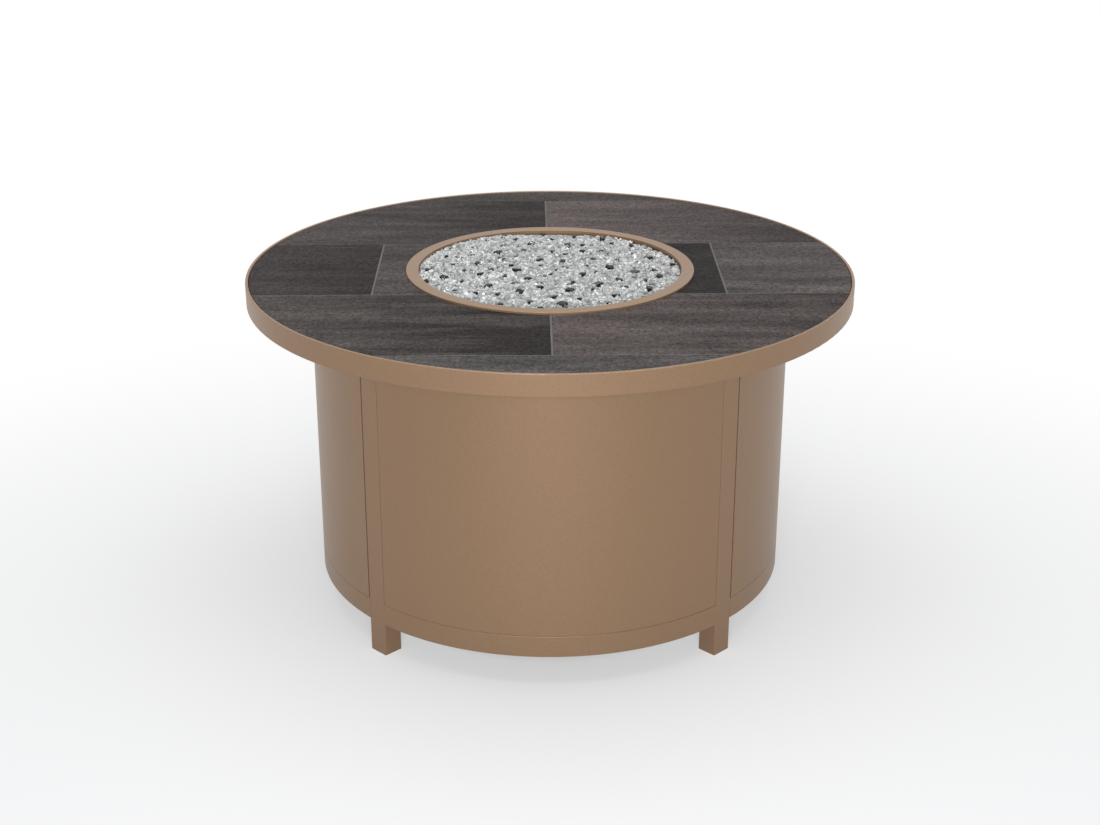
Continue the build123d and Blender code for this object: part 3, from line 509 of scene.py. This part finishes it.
class FirePitGlass(bpy.types.PropertyGroup):
    """Crushed fire glass in the burner pan"""

    chip_size: bpy.props.FloatProperty(
        name="Chip size", description="Usual size of a chip",
        subtype="DISTANCE", default=0.0088,
    )
    chip_step: bpy.props.FloatProperty(
        name="Chip step", description="Distance between neighbouring chips",
        subtype="DISTANCE", default=0.0052,
    )
    upper_share: bpy.props.FloatProperty(
        name="Upper layer", description="Share of the places in the upper layer that hold a chip",
        subtype="FACTOR", min=0, max=1, default=0.35,
    )
    smoke_share: bpy.props.FloatProperty(
        name="Smoked", description="Share of the places in the upper layer that hold a smoked chip",
        subtype="FACTOR", min=0, max=1, default=0.035,
    )
    black_count: bpy.props.IntProperty(
        name="Black", description="Number of black chips, apart from those too near the wall",
        min=0, default=84,
    )
    black_stray: bpy.props.FloatProperty(
        name="Black stray", description="How far a black chip may lie from its even place",
        subtype="DISTANCE", default=0.009,
    )
    top_drop: bpy.props.FloatProperty(
        name="Top drop", description="Depth of the heap's middle below the trim ring",
        subtype="DISTANCE", default=0.007,
    )
    edge_drop: bpy.props.FloatProperty(
        name="Edge drop", description="Usual depth of the heap's edge below the trim ring",
        subtype="DISTANCE", default=0.0086,
    )
    push_height: bpy.props.FloatProperty(
        name="Push height", description="How much higher the heap stands where it is pushed up",
        subtype="DISTANCE", default=0.0055,
    )
    push_turn: bpy.props.FloatProperty(
        name="Push turn", description="Side of the pan where the heap is pushed up",
        subtype="ANGLE", default=math.radians(122),
    )
    bed_drop: bpy.props.FloatProperty(
        name="Bed drop", description="Depth of the bed of grit below the surface of the heap",
        subtype="DISTANCE", default=0.0055,
    )
    bed_depth: bpy.props.FloatProperty(
        name="Bed depth", description="Depth of the bed's underside below the heap's edge",
        subtype="DISTANCE", default=0.024,
    )
    seed: bpy.props.IntProperty(
        name="Seed", description="Another number lays the chips another way", default=11
    )


class FirePitStage(bpy.types.PropertyGroup):
    """Studio floor, light and camera"""

    floor_colour: bpy.props.FloatVectorProperty(
        name="Floor", description="Colour of the floor round the table",
        subtype="COLOR", default=linear("#E6E8EA"),
    )
    floor_radius: bpy.props.FloatProperty(
        name="Floor radius", description="Radius of the floor", subtype="DISTANCE", default=60.0
    )
    near_white: bpy.props.FloatProperty(
        name="Fade start", description="Where the floor starts to fade to white",
        subtype="DISTANCE", default=0.75,
    )
    far_white: bpy.props.FloatProperty(
        name="Fade end", description="Where the floor is white", subtype="DISTANCE", default=2.2
    )
    fade_forward: bpy.props.FloatProperty(
        name="Fade forward", description="How far in front of the table the fade has its middle",
        subtype="DISTANCE", default=0.6,
    )
    least_white: bpy.props.FloatProperty(
        name="Least white", description="Share of plain white where the fade starts",
        subtype="FACTOR", min=0, max=1, default=0.46,
    )
    shade_core: bpy.props.FloatProperty(
        name="Shade core", description="Radius in which the floor under the base has no plain white",
        subtype="DISTANCE", default=0.2,
    )
    shade_edge: bpy.props.FloatProperty(
        name="Shade edge", description="Radius at which the floor under the base has its plain white back",
        subtype="DISTANCE", default=0.34,
    )
    sky_strength: bpy.props.FloatProperty(
        name="Sky", description="Strength of the even white sky", min=0, default=0.32
    )
    front_power: bpy.props.FloatProperty(
        name="Front lamp", description="Power of the soft lamp in front", subtype="POWER", default=136.0
    )
    overhead_power: bpy.props.FloatProperty(
        name="Overhead lamp", description="Power of the wide soft lamp above", subtype="POWER", default=62.0
    )
    lens: bpy.props.FloatProperty(name="Lens", description="Focal length in millimetres", default=57.96)
    camera_place: bpy.props.FloatVectorProperty(
        name="Camera", description="Place that the photo was taken from",
        subtype="TRANSLATION", default=(0.0, -3.0049, 1.5372),
    )
    camera_pitch: bpy.props.FloatProperty(
        name="Camera pitch", description="How far the camera looks down",
        subtype="ANGLE", default=math.radians(21.90),
    )


class FIRE_PIT_OT_coat_metalwork(bpy.types.Operator):
    """Coats posts, rails, panels, door and rims in bronze"""

    bl_idname = "fire_pit.coat_metalwork"
    bl_label = "Coat the metalwork"

    def execute(self, context):
        dress(COATED, bronze_powder_coat(context.scene.fire_pit_coat))
        return {"FINISHED"}


class FIRE_PIT_OT_lay_tiles(bpy.types.Operator):
    """Finishes the tiles, their grout and the board under them"""

    bl_idname = "fire_pit.lay_tiles"
    bl_label = "Lay the tiles"

    def execute(self, context):
        settings = context.scene.fire_pit_tiles
        for name in TILES:
            dress((name,), wood_look_porcelain(name, settings))
        dress(("tile_grout",), sanded_grout(settings))
        dress(("backer_board",), cement_board())
        return {"FINISHED"}


class GlassHeap:
    """The surface of the heaped glass, which crowns in the middle and is pushed up at one side."""

    def __init__(self, settings):
        self.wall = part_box("fire_glass")[1].x
        self.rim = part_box("trim_ring")[1].z
        self.top = self.rim - settings.top_drop
        self.edge = self.rim - settings.edge_drop
        self.push_height = settings.push_height
        self.push_turn = settings.push_turn

    def height(self, x, y):
        """Height of the surface at a place in the pan."""
        share = math.hypot(x, y) / self.wall
        pushed = self.push_height * share * share * math.cos(math.atan2(y, x) - self.push_turn)
        return self.edge + (self.top - self.edge) * (1 - share * share) + pushed

    def holds(self, x, y, size):
        """Whether a chip at this place clears the wall of the pan, with a share of its size to spare."""
        spare = 0.6
        return math.hypot(x, y) <= self.wall - spare * size


def glass_bed(heap, settings):
    """The closed bed of grit under the chips, spun from half its section and raised to the heap."""
    rings, sides = 6, 96
    underside = heap.edge - settings.bed_depth
    profile = [(heap.wall * ring / rings, heap.top) for ring in range(rings + 1)]
    profile += [(heap.wall, underside), (0.0, underside)]
    bm = bmesh.new()
    corners = [bm.verts.new((x, 0.0, z)) for x, z in profile]
    outline = [bm.edges.new(pair) for pair in zip(corners, corners[1:])]
    bmesh.ops.spin(
        bm, geom=corners + outline, cent=(0, 0, 0), axis=(0, 0, 1),
        angle=math.tau, steps=sides, use_merge=True,
    )
    bmesh.ops.remove_doubles(bm, verts=bm.verts, dist=1e-6)
    for vert in bm.verts:
        if vert.co.z > heap.edge:
            vert.co.z = heap.height(vert.co.x, vert.co.y) - settings.bed_drop
    bmesh.ops.recalc_face_normals(bm, faces=bm.faces)
    return bm


def scatter_chips(heap, settings, draw):
    """Middle, size and tone of each clear chip, and of each smoked one in the looser upper layer."""
    clear, smoked = [], []
    # The rows of a triangular grid lie closer together than the chips in a row.
    row_gap = 0.866
    # No corner stands above the trim ring: it reaches this share of a chip's size from its middle.
    reach = 0.7
    # A chip nests this deep in the heap at most, and is lifted this far at most.
    nested, lifted = 0.0025, 0.0015
    smallest, largest = 0.65, 1.25
    step = settings.chip_step
    rows = int(heap.wall / step) + 1
    for layer in (0, 1):
        stray = 0.45 + 0.1 * layer
        for row in range(-rows, rows + 1):
            for column in range(-rows, rows + 1):
                x = (column + 0.5 * (row % 2) + draw.uniform(-stray, stray)) * step
                y = (row * row_gap + draw.uniform(-stray, stray)) * step
                size = settings.chip_size * draw.uniform(smallest, largest)
                kind = draw.random()
                lift = draw.uniform(-nested, lifted) + lifted * layer
                glint = draw.random()
                if layer and kind > settings.upper_share or not heap.holds(x, y, size):
                    continue
                level = heap.height(x, y) - nested + lift
                middle = Vector((x, y, min(level, heap.rim - reach * size)))
                if layer and kind < settings.smoke_share:
                    tone = 0.1 + 0.25 * glint
                    smoked.append((middle, size, (tone, tone * 1.02, tone)))
                else:
                    tone = 0.38 + 0.42 * glint
                    clear.append((middle, size, (tone, tone * 1.02, tone * 1.015)))
    return clear, smoked


def lay_black_chips(heap, settings, draw):
    """Middle, size and tone of each black chip on top, spread evenly like the seeds of a sunflower."""
    black = []
    golden_turn = math.radians(137.5)
    # A flat chip reaches less far up than a tilted one, and lies just above the heap's surface.
    reach, lift = 0.5, 0.001
    smallest, jet = 0.85, (0.01, 0.01, 0.011)
    stray = settings.black_stray
    for seed in range(settings.black_count):
        out = (heap.wall - settings.chip_size) * math.sqrt((seed + 0.5) / settings.black_count)
        x = out * math.cos(golden_turn * seed) + draw.uniform(-stray, stray)
        y = out * math.sin(golden_turn * seed) + draw.uniform(-stray, stray)
        glint = draw.random()
        size = settings.chip_size * (smallest + glint * glint)
        if heap.holds(x, y, size):
            level = heap.height(x, y) + lift
            middle = Vector((x, y, min(level, heap.rim - reach * size)))
            black.append((middle, size, jet))
    return black


def painted_facet_shade(normal):
    """Painted shade of a broken facet: how bright it is painted, another share for each way that it faces."""
    darkest, span = 0.66, 0.56
    scrambled = 43758.5453 * math.sin(normal.dot(Vector((12.9898, 78.233, 37.719))))
    return darkest + span * (scrambled % 1.0)


def break_chip(bm, middle, size, tilt, ragged, draw):
    """Breaks one chip: the hull of a few points near the corners of a turned, flattened block."""
    block = (1.0, 0.8, 0.6)
    turns = (draw.uniform(-tilt, tilt), draw.uniform(-tilt, tilt), draw.uniform(0, math.tau))
    turn = Euler(turns).to_matrix()
    corners = []
    for corner in ((x, y, z) for x in (-1, 1) for y in (-1, 1) for z in (-1, 1)):
        reach = [side * length * draw.uniform(1 - ragged, 1) for side, length in zip(corner, block)]
        corners.append(bm.verts.new(middle + turn @ Vector(reach) * size / 2))
    hull = bmesh.ops.convex_hull(bm, input=corners)
    spare = {e for e in hull["geom_interior"] + hull["geom_unused"] if isinstance(e, bmesh.types.BMVert)}
    bmesh.ops.delete(bm, geom=list(spare), context="VERTS")
    return [e for e in hull["geom"] if isinstance(e, bmesh.types.BMFace)]


def break_chips(places, tilt, ragged, draw):
    """All chips of one kind in one bmesh, made a few hundred at a time to stay quick."""
    batch = 250
    whole, scratch = bmesh.new(), bpy.data.meshes.new("scratch")
    for first in range(0, len(places), batch):
        some = bmesh.new()
        tones = some.loops.layers.float_color.new("tone")
        chips = [
            (break_chip(some, middle, size, tilt, ragged, draw), tone)
            for middle, size, tone in places[first:first + batch]
        ]
        bmesh.ops.recalc_face_normals(some, faces=some.faces)
        # Each facet gets its chip's tone times a painted shade for the way it faces.
        for facets, tone in chips:
            for facet in facets:
                shade = painted_facet_shade(facet.normal)
                for corner in facet.loops:
                    corner[tones] = (*(min(1.0, shade * c) for c in tone), 1.0)
        some.to_mesh(scratch)
        some.free()
        whole.from_mesh(scratch)
    bpy.data.meshes.remove(scratch)
    return whole


class FIRE_PIT_OT_fill_glass(bpy.types.Operator):
    """Fills the pan with crushed glass: clear chips, smoked ones and black ones on a bed of grit"""

    bl_idname = "fire_pit.fill_glass"
    bl_label = "Fill the pan with glass"

    def execute(self, context):
        settings = context.scene.fire_pit_glass
        draw = random.Random(settings.seed)
        heap = GlassHeap(settings)
        bed = new_piece("fire_glass_bed", glass_bed(heap, settings), glass_grit(), "table")
        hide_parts("fire_glass")
        clear, smoked = scatter_chips(heap, settings, draw)
        black = lay_black_chips(heap, settings, draw)
        for kind, places in (("clear", clear), ("smoked", smoked), ("black", black)):
            clearness, roughness, shine, tilt, ragged = CHIPS[kind]
            chips = break_chips(places, tilt, ragged, draw)
            glass = crushed_glass(kind + "_fire_glass", clearness, roughness, shine)
            new_piece(kind + "_glass_chips", chips, glass, "table")
        return {"FINISHED"}


class FIRE_PIT_OT_finish_gas_line(bpy.types.Operator):
    """Finishes burner, air mixer, valve, tube and their fittings"""

    bl_idname = "fire_pit.finish_gas_line"
    bl_label = "Finish the gas line"

    def execute(self, context):
        # Brushed stainless sheet and tube: grey, drawn into fine lines.
        stainless = worked_metal(
            "brushed_stainless", "#CFCBC4", "#97928B", roughness=0.32, grain_mm=0.8, stretch=40
        )
        dress(("ring_burner", "control_bracket", "door_pivot_pins"), stainless)
        # Machined brass: yellow, with a fine grain and a little tarnish.
        brass = worked_metal(
            "machined_brass", "#D9B45F", "#8F6A2C", roughness=0.3, grain_mm=1.2, stretch=1
        )
        dress(("air_mixer", "gas_valve", "flare_nuts"), brass)
        # Zinc plated steel: bluish grey with a cloudy passivation.
        zinc = worked_metal(
            "zinc_plated_steel", "#C6CACB", "#888C90", roughness=0.34, grain_mm=3.0, stretch=1
        )
        dress(ZINC_PLATED, zinc)
        # Drawn aluminium tube: pale and dull, with a faint grain.
        aluminium = worked_metal(
            "drawn_aluminium", "#D6D6D4", "#A3A3A1", roughness=0.38, grain_mm=1.0, stretch=1
        )
        dress(("gas_tube",), aluminium)
        # Glazed porcelain insulator: warm white under a clear glaze.
        porcelain = moulded("glazed_porcelain", "#EFEBE2", "#DDD6C9", roughness=0.16, grain_mm=3)
        dress(("spark_electrode",), porcelain)
        # Silicone lead cover: dark red with a dull skin.
        silicone = moulded("silicone_cover", "#7E1D17", "#5E130F", roughness=0.5, grain_mm=1.5)
        dress(("igniter_lead",), silicone)
        return {"FINISHED"}


class FIRE_PIT_OT_finish_controls(bpy.types.Operator):
    """Finishes knob, push button and the plastic fittings of posts and door"""

    bl_idname = "fire_pit.finish_controls"
    bl_label = "Finish the controls"

    def execute(self, context):
        # Moulded black phenolic: near black with a soft grain.
        phenolic = moulded("black_phenolic", "#1C1C1C", "#0E0E0E", roughness=0.38, grain_mm=0.9)
        dress(("control_knob", "igniter_body", "igniter_button"), phenolic)
        # Moulded brown nylon: dark, matte, with a spark-eroded grain.
        nylon = moulded("brown_nylon", "#3B3029", "#2A221D", roughness=0.6, grain_mm=0.8)
        dress(("door_pivot_bushes", "post_end_plugs", "magnet_catch"), nylon)
        return {"FINISHED"}


def white_sky(strength):
    """A world that is seen as plain white and lights the table evenly, with less strength."""
    world = bpy.data.worlds.new("white_sky")
    world.use_nodes = True
    tree = world.node_tree
    tree.nodes.clear()
    lit = add(tree, "Background", {"Color": "#FFFFFF", "Strength": strength})
    shown = add(tree, "Background", {"Color": "#FFFFFF", "Strength": 1.0})
    both = add(tree, "MixShader", {0: seen_rays(tree), 1: lit.outputs[0], 2: shown.outputs[0]})
    add(tree, "OutputWorld", {"Surface": both.outputs[0]})
    return world


def hang_softbox(name, power):
    """Hangs one of the soft lamps and turns it to the table's axis."""
    width, height, place, aim = SOFTBOXES[name]
    light = bpy.data.lights.new(name, "AREA")
    light.energy = power
    light.shape = "RECTANGLE"
    light.size, light.size_y = width, height
    lamp = bpy.data.objects.new(name, light)
    lamp.location = place
    lamp.rotation_euler = (Vector((0, 0, aim)) - lamp.location).to_track_quat("-Z", "Y").to_euler()
    bpy.context.scene.collection.objects.link(lamp)


def photo_camera(settings):
    """A camera that stands where the photo was taken from."""
    camera = bpy.data.objects.new("camera", bpy.data.cameras.new("camera"))
    camera.data.sensor_width = 36.0
    camera.data.lens = settings.lens
    camera.location = settings.camera_place
    camera.rotation_euler = (math.pi / 2 - settings.camera_pitch, 0.0, 0.0)
    bpy.context.scene.collection.objects.link(camera)
    return camera


class FIRE_PIT_OT_set_stage(bpy.types.Operator):
    """Lays the floor, lights it evenly and sets the camera"""

    bl_idname = "fire_pit.set_stage"
    bl_label = "Set the stage"

    def execute(self, context):
        scene = context.scene
        settings = scene.fire_pit_stage
        scene.view_settings.view_transform = "Standard"
        disc = bmesh.new()
        bmesh.ops.create_circle(disc, cap_ends=True, segments=64, radius=settings.floor_radius)
        floor = new_object("floor", disc, studio_floor(settings))
        scene.world = white_sky(settings.sky_strength)
        hang_softbox("front_softbox", settings.front_power)
        hang_softbox("overhead_softbox", settings.overhead_power)
        scene.camera = photo_camera(settings)
        return {"FINISHED"}


OPERATORS = (
    FIRE_PIT_OT_coat_metalwork,
    FIRE_PIT_OT_lay_tiles,
    FIRE_PIT_OT_fill_glass,
    FIRE_PIT_OT_finish_gas_line,
    FIRE_PIT_OT_finish_controls,
    FIRE_PIT_OT_set_stage,
)
GROUPS = {
    "fire_pit_coat": FirePitCoat,
    "fire_pit_tiles": FirePitTiles,
    "fire_pit_glass": FirePitGlass,
    "fire_pit_stage": FirePitStage,
}


class FIRE_PIT_PT_sidebar(bpy.types.Panel):
    """Lists the settings and the steps of the fire pit table"""

    bl_label = "Fire pit table"
    bl_idname = "FIRE_PIT_PT_sidebar"
    bl_space_type = "VIEW_3D"
    bl_region_type = "UI"
    bl_category = "Fire pit"

    def draw(self, context):
        for name, group in GROUPS.items():
            box = self.layout.box()
            for setting in group.__annotations__:
                box.prop(getattr(context.scene, name), setting)
        for step in OPERATORS:
            self.layout.operator(step.bl_idname)


def register():
    for made in (*GROUPS.values(), *OPERATORS, FIRE_PIT_PT_sidebar):
        bpy.utils.register_class(made)
    for name, group in GROUPS.items():
        setattr(bpy.types.Scene, name, bpy.props.PointerProperty(type=group))


def unregister():
    for name in GROUPS:
        delattr(bpy.types.Scene, name)
    for made in (FIRE_PIT_PT_sidebar, *OPERATORS, *GROUPS.values()):
        bpy.utils.unregister_class(made)


def main():
    """Registers the add-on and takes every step."""
    register()
    for step in OPERATORS:
        group, name = step.bl_idname.split(".")
        getattr(getattr(bpy.ops, group), name)()


if __name__ == "__main__":
    main()
